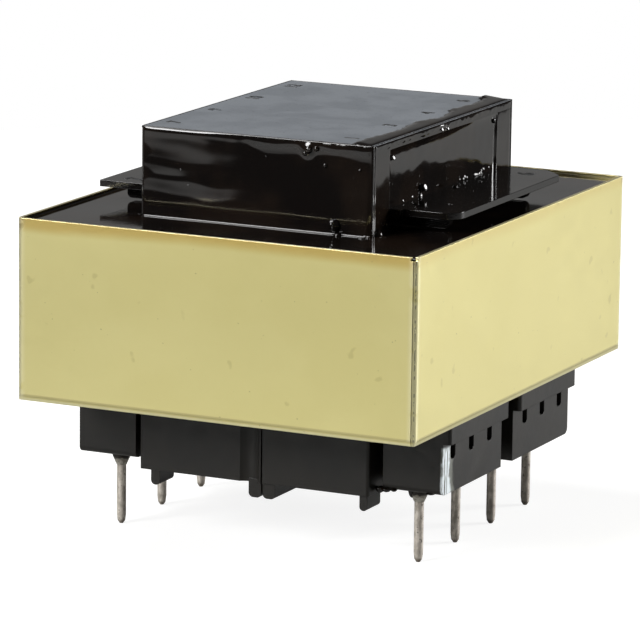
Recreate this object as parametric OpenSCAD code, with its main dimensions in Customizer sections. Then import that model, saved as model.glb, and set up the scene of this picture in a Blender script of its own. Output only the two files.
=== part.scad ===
// Low-profile power transformer for a printed circuit board.
//
// The lamination stack lies flat above the board. The coil axis runs along X through the
// centre leg, with the primary on the +X half of a split bobbin and the secondary on the
// -X half. Z = 0 is the top of the board, where the standoff feet rest, and the pins reach
// below it. Millimetres throughout.

/* [Core laminations] */
// Width of the centre leg that carries the coil
tongue_w = 15.9; // [12:0.1:20]
// Width of each outer leg
leg_w = 7.95; // [5:0.05:12]
// Width of the yoke that closes each end
yoke_w = 7.95; // [7.5:0.05:12]
// Clear width of each window
window_w = 7.95; // [7:0.05:12]
// Clear length of each window, along the coil axis
window_len = 23.8; // [20:0.1:32]
// Thickness of one lamination
lam_t = 0.45; // [0.35:0.01:0.6]
// Varnish film between neighbouring laminations
film_t = 0.02; // [0.01:0.005:0.05]
// Number of laminations in the stack
lam_count = 35; // [24:1:44]
// Butt gap where an E meets its I
butt_gap = 0.03; // [0.01:0.01:0.1]
// Height of the underside of the stack above the board
core_z = 9.15; // [8:0.05:12]

/* [Flux band] */
// Height of the band
band_h = 17.15; // [12:0.05:22]
// Sheet thickness
band_t = 0.35; // [0.2:0.05:0.8]
// Clearance between the band and the stack
band_fit = 0.05; // [0.02:0.01:0.2]
// Outer radius of the folded corners
band_r = 0.5; // [0.4:0.05:1.5]
// How far the band hangs below the stack
band_drop = 0.35; // [0:0.05:1]
// Height of the strip along the lower edge that the shear rolled in
roll_h = 0.45; // [0.2:0.05:1]
// How far that strip is rolled in
roll_in = 0.1; // [0.02:0.01:0.15]
// Open seam where the two ends of the sheet meet
seam_gap = 0.06; // [0.02:0.01:0.2]
// Width of the corner notch at the top of the seam
notch_w = 0.65; // [0.3:0.05:2]
// Depth of the corner notch
notch_d = 0.35; // [0.1:0.05:1]

/* [Shroud] */
// Height of the top of the shroud above the board
shroud_top = 34; // [32.5:0.1:38]
// Thickness of the top wall
shroud_top_t = 0.82; // [0.6:0.02:1.2]
// Thickness of the side walls that pass through the windows
shroud_side_t = 0.9; // [0.6:0.05:1.2]
// Thickness of the end walls beside the coil
shroud_end_t = 0.85; // [0.6:0.05:1]
// Width of each corner post beside an end opening
post_w = 3.6; // [2.5:0.1:4.5]
// Clearance between the shroud and the ends of the windows
shroud_fit_x = 0.05; // [0.02:0.01:0.2]
// Clearance between the shroud and the outer legs
shroud_fit_y = 0.1; // [0.02:0.01:0.3]
// Radius of the upright outer edges
shroud_edge_r = 0.3; // [0.1:0.05:0.8]
// Gap between the upper shroud and the lower ones, half way down the windows
shroud_gap = 0.2; // [0.05:0.05:1]
// Height of the underside of the lower shrouds above the board, and of the feet
floor_z = 1.43; // [1.2:0.01:2]
// Thickness of the floor of the lower shrouds
floor_t = 0.7; // [0.5:0.05:1]
// Place of the seam between the two lower shrouds, from the middle
seam_x = 0.9; // [0:0.05:2]
// Width of that seam
shroud_seam = 0.15; // [0.05:0.05:0.4]
// Width of the hollow flute beside the seam
flute_w = 2; // [1:0.1:3]
// Depth of the flute
flute_d = 0.35; // [0.1:0.05:0.5]

/* [Feet] */
// Width of a standoff foot
foot_w = 0.95; // [0.6:0.05:1.4]
// Length of the feet at the ends of the coil
foot_len = 2.85; // [2:0.05:4]
// Width of the feet at the seam
seam_foot_w = 1.3; // [0.6:0.05:1.8]
// Length of the feet at the seam
seam_foot_len = 5; // [3:0.1:8]
// Distance of the outer feet from the ends of the shroud
foot_inset = 1.15; // [0.2:0.05:2.5]
// Distance of each foot from the side wall's face
foot_setback = 0.15; // [0.05:0.05:1]
// Radius of the lower edges of the feet
foot_r = 0.45; // [0.1:0.05:0.6]

/* [Bobbin] */
// Wall of the square tube that the coil is wound on
tube_wall = 1; // [0.6:0.05:1.4]
// Clearance between the tube and the centre leg
tube_fit = 0.2; // [0.05:0.05:0.4]
// Thickness of the end flanges
flange_t = 0.7; // [0.5:0.05:1]
// Thickness of the wall between primary and secondary
divider_t = 1; // [0.6:0.1:2]
// Clearance of the bobbin inside the shrouds
flange_fit = 0.1; // [0.05:0.05:0.3]
// How far the raised end panel stays back from the shroud's face
panel_recess = 0.25; // [0.1:0.05:0.5]
// Radius along the upper edge of the raised end panel
panel_r = 0.55; // [0.2:0.05:0.6]

/* [Upper shelves] */
// How far a shelf stays back from the end face of the stack
shelf_setback = 1.45; // [0.5:0.05:2.5]
// Thickness of a shelf
shelf_t = 0.62; // [0.4:0.02:1]
// Gap between the stack and the underside of a shelf
shelf_gap = 1.5; // [1.2:0.05:2]
// Extent of a shelf towards -Y
shelf_near = 11.6; // [10:0.1:14]
// Extent of a shelf towards +Y
shelf_far = 14.2; // [12.5:0.1:15]
// Corner radius at the -Y end of the primary shelf
shelf_r = 1.8; // [0.5:0.1:3]
// Corner cut at the +Y end of the primary shelf
shelf_cut = 2; // [0.5:0.1:3]
// Distance of the ribs under a shelf from the middle
rib_y = 9; // [5:0.1:10.5]
// Thickness of those ribs
rib_t = 0.9; // [0.5:0.1:1.5]
// How far the ribs stay back from the edge of the shelf
rib_setback = 1.8; // [0.5:0.1:3]
// Gap between the ribs and the stack
rib_gap = 0.25; // [0.1:0.05:0.5]

/* [Pin rails] */
// How far the lip of a rail stays back from the end face of the stack
lip_setback = 0.25; // [0.05:0.05:1]
// How far each end of a rail stays back from the side of the flange
rail_end_fit = 0.05; // [0:0.05:0.5]
// Height of the underside of a rail above the board
rail_z = 2.05; // [1.6:0.05:2.6]
// Gap between a rail and the shroud's end wall
rail_gap = 0.95; // [0.5:0.05:1.5]
// Clearance between a rail and the stack
rail_fit = 0.1; // [0.05:0.05:0.3]
// Radius of the lower corners of a rail
rail_r = 0.6; // [0.2:0.1:1]
// Width of the cleft that parts a rail at its middle
cleft_w = 2.7; // [1.5:0.1:4]
// Depth of the cleft
cleft_d = 4.2; // [2:0.1:5]
// How far the lip stands out along the top of a rail
lip_out = 0.8; // [0.3:0.05:1.5]
// Height of the lip's lower edge above the board
lip_z = 6.9; // [6.5:0.05:7.5]
// Width of a wire slot under the lip
slot_w = 1.1; // [0.6:0.1:1.6]
// Height of a wire slot
slot_h = 1.5; // [0.8:0.05:1.8]
// Depth of a wire slot
slot_d = 1.6; // [0.8:0.1:2.2]
// Widening of the mouth of a wire slot
slot_flare = 0.3; // [0.1:0.05:0.6]
// Cut at each lower corner of a wire slot
slot_cut = 0.25; // [0.05:0.05:0.25]
// Distance of the slots below the lip
slot_drop = 0.25; // [0.1:0.05:0.6]
// Width of the lead grooves under a rail
groove_w = 1; // [0.7:0.1:1.4]
// Depth of the lead grooves
groove_d = 1.3; // [1.2:0.05:1.6]
// Radius of the lip's upright corners
lip_r = 0.4; // [0.1:0.05:0.7]

/* [Pins] */
// Diameter of a pin
pin_d = 0.88; // [0.6:0.02:1]
// Distance of a row of pins from the outer face of its rail
pin_inset = 3.3; // [2.5:0.1:4]
// Distance of the end pins of a row from the ends of their rail
pin_margin = 2.27; // [1.8:0.01:2.6]
// Length of a pin below the board's top face
pin_below = 5; // [3:0.1:6]
// Length of a pin inside the rail
pin_grip = 4.2; // [3:0.1:5]
// How much the part of a pin inside the rail is swaged up, so that it holds
pin_swage = 0.03; // [0.01:0.01:0.06]
// Length of the taper where the swaged part begins
swage_taper = 0.15; // [0.05:0.05:0.4]
// Length of the rounded point
pin_point = 0.9; // [0.4:0.1:1.5]
// Radius of the flat at the tip
pin_tip_r = 0.18; // [0.05:0.01:0.25]
// Clearance between a pin and its hole
pin_fit = 0.01; // [0.005:0.005:0.05]

/* [Windings] */
// Depth of the primary winding
primary_build = 5.3; // [3:0.1:5.4]
// Depth of the secondary winding
secondary_build = 5; // [3:0.1:5.4]
// Clearance between a winding and the bobbin
coil_fit = 0.03; // [0.01:0.01:0.1]
// Corner radius of the innermost turns
turn_r = 0.4; // [0.2:0.05:1]
// Thickness of the insulation wrapped over a winding
wrap_t = 0.15; // [0.05:0.01:0.25]
// Diameter of a lead
lead_d = 0.5; // [0.3:0.02:0.7]
// Top diameter of the solder fillet round the root of a pin
fillet_d = 1.74; // [1.3:0.02:1.8]
// Thickness of the solder where it runs out on the pin
fillet_tip_t = 0.04; // [0.02:0.01:0.1]
// Height of the solder fillet
fillet_h = 1.3; // [0.5:0.05:1.4]
// Part of that height that the solder stands full
fillet_full_h = 0.45; // [0.1:0.05:0.45]

/* [Hidden] */
$fn = 48;
// Overshoot of a cutting shape past the face that it opens
over = 1;
// Least flat left between the two round corners of a narrow profile
least_flat = 0.02;

// Core
core_x = window_len + 2 * yoke_w;
core_y = tongue_w + 2 * window_w + 2 * leg_w;
lam_pitch = lam_t + film_t;
core_h = lam_count * lam_pitch - film_t;
core_top = core_z + core_h;
core_mid = core_z + core_h / 2;

// Outer faces of the band
band_x = core_x / 2 + band_fit + band_t;
band_y = core_y / 2 + band_fit + band_t;

// Shrouds
shroud_x = window_len / 2 - shroud_fit_x;
shroud_y = tongue_w / 2 + window_w - shroud_fit_y;
side_in = shroud_y - shroud_side_t;
end_in = shroud_x - shroud_end_t;
port_y = shroud_y - post_w;
seam_left = seam_x - shroud_seam / 2;
seam_right = seam_x + shroud_seam / 2;

// Bobbin
tube_y = tongue_w / 2 + tube_fit + tube_wall;
tube_z = core_h / 2 + tube_fit + tube_wall;
flange_x = end_in - flange_fit;
flange_y = side_in - flange_fit;
rail_y = flange_y - rail_end_fit;
flange_top = shroud_top - shroud_top_t - flange_fit;
flange_bottom = floor_z + floor_t + flange_fit;
panel_x = shroud_x - panel_recess;
panel_y = port_y - flange_fit;
shelf_z = core_top + shelf_gap;
shelf_reach = core_x / 2 - shelf_setback;
rib_reach = shelf_reach - rib_setback;
rail_out = core_x / 2 - lip_setback - lip_out;
rail_in = shroud_x + rail_gap;
rail_top = core_z - rail_fit;

// Pins and leads
pin_r = pin_d / 2;
grip_r = pin_r + pin_swage;
pin_x = rail_out - pin_inset;
positions = [-3, -2, -1, 1, 2, 3];
pin_pitch = (rail_y - pin_margin) / max(positions);
fitted = [-3, -1, 1, 3];
lead_z = rail_z + groove_d - lead_d / 2 - coil_fit;
// Each outer lead starts inside the opening between the posts and slants to its pin
lead_port = port_y - lead_d - flange_fit;

// Windings
coil_from = divider_t / 2 + coil_fit;
coil_to = flange_x - flange_t - coil_fit;

// Rectangle with round corners, centred on the origin.
module round_rect(w, h, r) {
    square([w - 2 * r, h], center = true);
    square([w, h - 2 * r], center = true);
    for (x = [-1, 1], y = [-1, 1])
        translate([x * (w / 2 - r), y * (h / 2 - r)]) circle(r);
}

// Profile that stands on its lower edge, with that edge's two corners round, as far as its
// width allows.
module sole(x0, x1, z0, z1, wanted_r) {
    r = min(wanted_r, (x1 - x0 - least_flat) / 2);
    translate([x0, z0 + r]) square([x1 - x0, z1 - z0 - r]);
    translate([x0 + r, z0]) square([x1 - x0 - 2 * r, z1 - z0]);
    for (x = [x0 + r, x1 - r]) translate([x, z0 + r]) circle(r);
}

// Extrudes a profile drawn in X-Z along Y, from y0 to y1.
module along_y(y0, y1) {
    translate([0, y1, 0]) rotate([90, 0, 0]) linear_extrude(y1 - y0) children();
}

// Extrudes a profile drawn in Y-Z along X, from x0 to x1.
module along_x(x0, x1) {
    translate([x0, 0, 0]) rotate([90, 0, 90]) linear_extrude(x1 - x0) children();
}

// Box between two opposite corners.
module block(low, high) {
    translate(low) cube(high - low);
}

// One E, with its yoke towards -X. The three legs end short of the far yoke by the butt gap.
module e_outline() {
    legs = core_x - yoke_w - butt_gap;
    translate([-core_x / 2, -core_y / 2]) square([yoke_w, core_y]);
    translate([-core_x / 2, -tongue_w / 2]) square([legs, tongue_w]);
    for (side = [-1, 1])
        translate([-core_x / 2, side * (core_y - leg_w) / 2 - leg_w / 2]) square([legs, leg_w]);
}

// One I, closing the far ends of the three legs.
module i_outline() {
    translate([core_x / 2 - yoke_w, -core_y / 2]) square([yoke_w, core_y]);
}

// Lays one outline in every layer, turned end for end in every other one.
module stack() {
    for (i = [0:lam_count - 1])
        translate([0, 0, core_z + i * lam_pitch]) mirror([i % 2, 0, 0])
            linear_extrude(lam_t) children();
}

module e_laminations() color("#3a3836") stack() e_outline();

module i_laminations() color("#44413e") stack() i_outline();

// Outer outline of the folded sheet.
module band_outline() {
    round_rect(2 * band_x, 2 * band_y, band_r);
}

// Cuts that roll the lower edge inwards along all four sides, as the shear left it.
module rolled_edge(bottom) {
    for (turn = [0, 180]) rotate(turn) {
        along_y(-band_y - over, band_y + over) translate([band_x, bottom])
            polygon([[-roll_in, 0], [-roll_in - over * roll_in / roll_h, -over], [over, -over],
                     [over, roll_h], [0, roll_h]]);
        along_x(-band_x - over, band_x + over) translate([band_y, bottom])
            polygon([[-roll_in, 0], [-roll_in - over * roll_in / roll_h, -over], [over, -over],
                     [over, roll_h], [0, roll_h]]);
    }
}

// Sheet wrapped round the four sides of the stack. Its ends meet at the edge between the
// +X and -Y sides, where the -Y end butts against the inside of the +X end.
module flux_band() {
    bottom = core_z - band_drop;
    top = bottom + band_h;
    seam_at = band_x - band_t;
    color("#cdc687") difference() {
        translate([0, 0, bottom]) linear_extrude(band_h) difference() {
            band_outline();
            square([2 * seam_at, 2 * (band_y - band_t)], center = true);
        }
        rolled_edge(bottom);
        block([seam_at - seam_gap, -band_y - over, bottom - over],
              [seam_at, -band_y + band_t + over / 2, top + over]);
        block([band_x - notch_w, -band_y - over, top - notch_d],
              [band_x + over, -band_y + band_t, top + over]);
    }
}

// Flange plate of the bobbin between two places along the coil axis.
module flange(x0, x1) {
    block([x0, -flange_y, flange_bottom], [x1, flange_y, flange_top]);
}

// Raised panel on the +X flange, showing through the opening in the shroud's end wall.
module end_panel() {
    difference() {
        block([flange_x - flange_t, -panel_y, flange_bottom], [panel_x, panel_y, flange_top]);
        along_y(-panel_y - over, panel_y + over) translate([panel_x - panel_r, flange_top - panel_r])
            difference() {
                square(panel_r + over);
                circle(panel_r);
            }
    }
}

// Ribs that stiffen a shelf from below, just clear of the stack.
module shelf_ribs() {
    for (side = [-1, 1])
        along_y(side * rib_y - rib_t / 2, side * rib_y + rib_t / 2)
            sole(panel_x - flange_t, rib_reach, core_top + rib_gap, shelf_z + shelf_t / 2, rib_gap * 2);
}

// Shelf over the +X yoke. The primary's has one round corner and one cut corner.
module shelf(round_corner, cut_corner) {
    root = shroud_x + flange_fit;
    translate([0, 0, shelf_z]) linear_extrude(shelf_t) {
        translate([flange_x, -panel_y]) square([root - flange_x + over, 2 * panel_y]);
        difference() {
            translate([root, -shelf_near]) square([shelf_reach - root, shelf_near + shelf_far]);
            if (cut_corner)
                translate([shelf_reach, shelf_far]) rotate(45) square(shelf_cut * sqrt(2), center = true);
            if (round_corner)
                translate([shelf_reach - shelf_r, shelf_r - shelf_near]) difference() {
                    translate([0, -shelf_r - over]) square(shelf_r + over);
                    circle(shelf_r);
                }
        }
    }
    shelf_ribs();
}

// Opening of one wire slot, in Y-Z, with its mouth widened towards +Y.
module slot_outline() {
    polygon([[-slot_w / 2, slot_cut - slot_h], [slot_cut - slot_w / 2, -slot_h],
             [slot_w / 2 - slot_cut, -slot_h], [slot_w / 2, slot_cut - slot_h],
             [slot_w / 2, -slot_flare], [slot_w / 2 + slot_flare, 0], [-slot_w / 2, 0]]);
}

// Y of a lead where it leaves the winding, for one position in a row.
function lead_start(p) = sign(p) * min(abs(p) * pin_pitch, lead_port);

// Direction of a lead in X-Y, from the winding to its pin.
function lead_turn(p) = atan2(p * pin_pitch - lead_start(p), pin_x - coil_to);

// Groove for one lead, from inside the winding space to the pin.
module lead_groove(p) {
    reach = (pin_x - coil_to) / cos(lead_turn(p));
    translate([coil_to, lead_start(p), 0]) rotate(lead_turn(p))
        block([-over / 2, -groove_w / 2, rail_z - over], [reach, groove_w / 2, rail_z + groove_d]);
}

// Rail under the +X yoke, with its lip, wire slots, cleft, lead grooves and pin holes.
module rail() {
    difference() {
        union() {
            along_x(rail_in, rail_out) sole(-rail_y, rail_y, rail_z, rail_top, rail_r);
            for (side = [0, 1]) mirror([0, side, 0])
                translate([0, 0, lip_z]) linear_extrude(rail_top - lip_z) rotate(90)
                    sole(cleft_w / 2, rail_y, -rail_out - lip_out, -rail_in, lip_r);
            block([flange_x - flange_t, -panel_y, flange_bottom], [rail_in + over, panel_y, rail_top]);
        }
        block([rail_out - cleft_d, -cleft_w / 2, rail_z - over],
              [rail_out + lip_out + over, cleft_w / 2, rail_top + over]);
        for (p = positions) translate([0, p * pin_pitch, 0]) {
            along_x(rail_out - slot_d, rail_out + over) translate([0, lip_z - slot_drop]) slot_outline();
            translate([pin_x, 0, rail_z - over]) cylinder(h = pin_grip + over, r = grip_r + pin_fit);
        }
    }
}

// The whole bobbin: tube, flanges, divider, shelves and rails, moulded in one piece.
module bobbin() {
    bore_y = tongue_w / 2 + tube_fit;
    bore_z = core_h / 2 + tube_fit;
    color("#26231f") difference() {
        union() {
            block([-flange_x, -tube_y, core_mid - tube_z], [flange_x, tube_y, core_mid + tube_z]);
            flange(-divider_t / 2, divider_t / 2);
            for (end = [0, 1]) mirror([end, 0, 0]) {
                flange(flange_x - flange_t, flange_x);
                end_panel();
                shelf(end == 0, end == 0);
                rail();
            }
        }
        block([-panel_x - over, -bore_y, core_mid - bore_z], [panel_x + over, bore_y, core_mid + bore_z]);
        for (end = [0, 1], p = positions) mirror([end, 0, 0]) lead_groove(p);
    }
}

// Outer block of a shroud between two heights, with round upright edges.
module shroud_block(z0, z1) {
    translate([0, 0, z0]) linear_extrude(z1 - z0)
        round_rect(2 * shroud_x, 2 * shroud_y, shroud_edge_r);
}

// Room for the coil, and the opening at each end between the corner posts.
module shroud_room(z0, z1) {
    block([-end_in, -side_in, z0], [end_in, side_in, z1]);
    block([-shroud_x - over, -port_y, z0], [shroud_x + over, port_y, z1]);
}

// Cover over the top of the coil. Its side walls reach half way down the windows.
module upper_shroud() {
    bottom = core_mid + shroud_gap / 2;
    color("#1f1c1a") difference() {
        shroud_block(bottom, shroud_top);
        shroud_room(bottom - over, shroud_top - shroud_top_t);
    }
}

// Foot between x0 and x1 on both sides of the coil.
module feet(x0, x1, length) {
    for (side = [0, 1]) mirror([0, side, 0])
        along_y(-shroud_y + foot_setback, -shroud_y + foot_setback + length)
            sole(x0, x1, 0, floor_z + floor_t / 2, foot_r);
}

// Part of the lower shroud between x0 and x1, as a tray open at the top.
module lower_shroud(x0, x1) {
    top = core_mid - shroud_gap / 2;
    difference() {
        intersection() {
            shroud_block(floor_z, top);
            block([x0, -shroud_y, floor_z], [x1, shroud_y, top]);
        }
        shroud_room(floor_z + floor_t, top + over);
    }
}

// Lower cover of the primary half of the coil.
module lower_shroud_primary() {
    color("#24211e") {
        lower_shroud(seam_right, shroud_x);
        feet(seam_right, seam_right + seam_foot_w, seam_foot_len);
        feet(shroud_x - foot_w, shroud_x - shroud_edge_r / 2, foot_len);
    }
}

// Lower cover of the secondary half, with a flute beside the seam.
module lower_shroud_secondary() {
    r = (pow(flute_w / 2, 2) + pow(flute_d, 2)) / (2 * flute_d);
    color("#24211e") {
        difference() {
            lower_shroud(-shroud_x, seam_left);
            for (side = [-1, 1])
                translate([seam_left - flute_w / 2 - shroud_seam, side * (shroud_y + r - flute_d), floor_z - over])
                    cylinder(h = core_h, r = r, $fn = 96);
        }
        feet(seam_left - seam_foot_w, seam_left, seam_foot_len);
        feet(-shroud_x + foot_inset, -shroud_x + foot_inset + foot_w, foot_len);
    }
}

// Ring round the tube, from one depth of winding to another, along the +X half.
module coil_ring(inner, outer) {
    along_x(coil_from, coil_to) translate([0, core_mid]) difference() {
        round_rect(2 * (tube_y + outer), 2 * (tube_z + outer), turn_r + outer);
        if (inner > coil_fit) round_rect(2 * (tube_y + inner), 2 * (tube_z + inner), turn_r + inner);
        else square([2 * (tube_y + inner), 2 * (tube_z + inner)], center = true);
    }
}

module primary_winding() color("#8a4a26") coil_ring(coil_fit, primary_build);

module secondary_winding() color("#a05a2c") mirror([1, 0, 0]) coil_ring(coil_fit, secondary_build);

// Insulation over a winding of the given depth.
module wrap(build) coil_ring(build + coil_fit, build + coil_fit + wrap_t);

module primary_wrap() color("#c9b458") wrap(primary_build);

module secondary_wrap() color("#c9b458") mirror([1, 0, 0]) wrap(secondary_build);

// Straight leads from the end of a winding to the sides of its pins.
module leads() {
    difference() {
        for (p = fitted)
            translate([coil_to, lead_start(p), lead_z]) rotate([0, 90, lead_turn(p)])
                cylinder(h = (pin_x - grip_r - pin_fit - coil_to) / cos(lead_turn(p)), d = lead_d);
        block([coil_to - over, -rail_y, lead_z - over], [coil_to, rail_y, lead_z + over]);
    }
}

module primary_leads() color("#b87333") leads();

module secondary_leads() color("#b87333") mirror([1, 0, 0]) leads();

// Fillet of solder round the root of each pin, under the rail. It hangs full under the rail
// and runs out down the pin.
module solder_fillets() {
    bore = pin_r + pin_fit;
    color("#b9b5aa") for (end = [-1, 1], p = fitted)
        translate([end * pin_x, p * pin_pitch, rail_z - fillet_h]) rotate_extrude()
            polygon([[bore, 0], [bore + fillet_tip_t, 0], [fillet_d / 2, fillet_h - fillet_full_h],
                     [fillet_d / 2, fillet_h], [bore, fillet_h]]);
}

// One straight round pin with a rounded point, standing at a position of one row. Inside
// the rail it is swaged a little thicker.
module pin(end, position) {
    top = rail_z + pin_grip - pin_fit;
    color("#a9a59b") translate([end * pin_x, position * pin_pitch, 0]) rotate_extrude() polygon([
        [0, -pin_below], [pin_tip_r, -pin_below], [(pin_r + pin_tip_r) * 0.6, -pin_below + pin_point / 3],
        [pin_r, -pin_below + pin_point], [pin_r, rail_z], [grip_r, rail_z + swage_taper],
        [grip_r, top - swage_taper], [pin_r, top], [0, top]]);
}

e_laminations();
i_laminations();
flux_band();
bobbin();
upper_shroud();
lower_shroud_primary();
lower_shroud_secondary();
primary_winding();
secondary_winding();
primary_wrap();
secondary_wrap();
primary_leads();
secondary_leads();
solder_fillets();
pin(1, -3);  // pin_1
pin(1, -1);  // pin_3
pin(1, 1);  // pin_4
pin(1, 3);  // pin_6
pin(-1, -3);  // pin_7
pin(-1, -1);  // pin_9
pin(-1, 1);  // pin_10
pin(-1, 3);  // pin_12
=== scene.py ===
import math
import random

import bmesh
import bpy
from mathutils import Matrix, Vector, noise


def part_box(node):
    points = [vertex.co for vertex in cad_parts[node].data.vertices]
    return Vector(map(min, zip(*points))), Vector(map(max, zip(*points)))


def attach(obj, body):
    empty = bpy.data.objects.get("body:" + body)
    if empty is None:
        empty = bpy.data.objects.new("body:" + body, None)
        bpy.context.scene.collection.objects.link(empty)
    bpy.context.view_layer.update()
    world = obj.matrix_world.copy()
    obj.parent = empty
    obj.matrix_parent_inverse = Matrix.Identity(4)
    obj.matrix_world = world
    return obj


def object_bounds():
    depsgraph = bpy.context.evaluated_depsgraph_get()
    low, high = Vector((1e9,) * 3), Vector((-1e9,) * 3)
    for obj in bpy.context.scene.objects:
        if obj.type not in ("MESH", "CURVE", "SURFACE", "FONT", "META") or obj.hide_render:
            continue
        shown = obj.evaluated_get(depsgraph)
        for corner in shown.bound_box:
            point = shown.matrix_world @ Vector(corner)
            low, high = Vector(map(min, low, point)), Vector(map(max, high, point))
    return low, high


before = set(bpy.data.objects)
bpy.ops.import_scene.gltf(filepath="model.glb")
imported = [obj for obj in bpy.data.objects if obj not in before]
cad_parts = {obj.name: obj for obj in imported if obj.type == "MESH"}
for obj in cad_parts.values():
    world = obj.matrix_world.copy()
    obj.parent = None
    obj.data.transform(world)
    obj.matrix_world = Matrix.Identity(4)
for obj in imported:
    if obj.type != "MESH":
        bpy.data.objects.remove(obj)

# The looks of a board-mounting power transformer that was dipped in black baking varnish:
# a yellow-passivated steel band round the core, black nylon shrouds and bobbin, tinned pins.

CAD_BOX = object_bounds()
MM = 0.001
random.seed(7)

# ---------------------------------------------------------------- places, from the frame
BAND_LOW, BAND_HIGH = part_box("flux_band")
CORE_LOW, CORE_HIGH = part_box("e_laminations")
COVER_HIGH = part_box("upper_shroud")[1]
BOBBIN_LOW, BOBBIN_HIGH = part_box("bobbin")
PINS = {name: [(a + b) / 2 for a, b in zip(*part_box(name))]
        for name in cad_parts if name.startswith("pin_")}

SHEET = 0.35 * MM                       # thickness of the band
PANEL_FACE = COVER_HIGH.x - 0.25 * MM   # face of the bobbin's panel in the cover's end opening
PANEL_SIDE = COVER_HIGH.y - 3.6 * MM    # half width of that opening
PANEL_TOP = COVER_HIGH.z - 0.82 * MM    # underside of the cover's top wall
SHELF_TOP = CORE_HIGH.z + 2.12 * MM     # top of the two shelves over the yokes
RAIL_FACE = BOBBIN_HIGH.x - 0.8 * MM    # outer face of a pin rail, under its lip
EDGE_ROUND = 0.07 * MM                  # radius that plating, moulding and varnish leave on an edge
NO_LIMIT = 1                            # more than any mask, direction or place in metres reaches


# ---------------------------------------------------------------- small helpers
def colour(code):
    """Linear RGBA of an sRGB hex value."""
    parts = [int(code[i:i + 2], 16) / 255 for i in (1, 3, 5)]
    return [p / 12.92 if p <= 0.04045 else ((p + 0.055) / 1.055) ** 2.4 for p in parts] + [1]


def node(tree, kind, inputs=(), out=0, **settings):
    """Adds a node with its settings, sets or links its inputs, and gives one of its outputs."""
    made = tree.nodes.new("ShaderNode" + kind)
    for name, value in settings.items():
        setattr(made, name, value)
    for socket, value in (inputs.items() if isinstance(inputs, dict) else enumerate(inputs)):
        if isinstance(value, bpy.types.NodeSocket):
            tree.links.new(value, made.inputs[socket])
        else:
            made.inputs[socket].default_value = value
    return made.outputs[out] if made.outputs else made


def material(name, **uniform):
    """A new material with its tree, its shader and the point in the part's own frame."""
    made = bpy.data.materials.new(name)
    made.use_nodes = True
    tree = made.node_tree
    shader = tree.nodes["Principled BSDF"]
    for socket, value in uniform.items():
        shader.inputs[socket.replace("_", " ")].default_value = value
    place = node(tree, "TexCoord", out="Object")
    return made, tree, shader, place


def grain(tree, place, size, detail=2.0, stretch=(1, 1, 1)):
    """Noise whose features measure about size metres, stretched along an axis by a factor."""
    put = node(tree, "Mapping", {"Vector": place, "Scale": [1 / (size * s) for s in stretch]})
    return node(tree, "TexNoise", {"Vector": put, "Scale": 1.0, "Detail": detail})


def within(tree, value, low, high, soft, *also):
    """A mask that is 1 where a value lies between two limits, with soft borders outside them,
    and that keeps only what the other masks keep."""
    kept = node(tree, "MapRange", (value, low - soft, low), interpolation_type="SMOOTHSTEP")
    fall = node(tree, "MapRange", (value, high + soft, high), interpolation_type="SMOOTHSTEP")
    for mask in (fall, *also):
        kept = node(tree, "Math", (kept, mask), operation="MULTIPLY")
    return kept


def painted(tree, tone, *layers):
    """A tone with layers over it: each a colour, the mask where it lies, and how strongly."""
    for over, mask, *strength in layers:
        for share in strength:
            mask = node(tree, "Math", (mask, share), operation="MULTIPLY")
        tone = node(tree, "Mix", {0: mask, 6: tone, 7: over}, 2, data_type="RGBA")
    return tone


def surface(tree, shader, *layers, edges=True):
    """Rounds sharp edges to the eye and stacks bumps, each a height from 0 to 1 and its depth."""
    normal = node(tree, "Bevel", {"Radius": EDGE_ROUND}, samples=6) if edges else None
    for height, depth in layers:
        inputs = {"Height": height, "Distance": depth, "Strength": 1.0}
        if normal:
            inputs["Normal"] = normal
        normal = node(tree, "Bump", inputs)
    tree.links.new(normal, shader.inputs["Normal"])


def finish_with(tree, shader, tone, rough, low, high):
    """Links the tone, and a roughness that follows a grain between two values."""
    tree.links.new(tone, shader.inputs["Base Color"])
    tree.links.new(node(tree, "MapRange", (rough, 0.3, 0.7, low, high)), shader.inputs["Roughness"])


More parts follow.
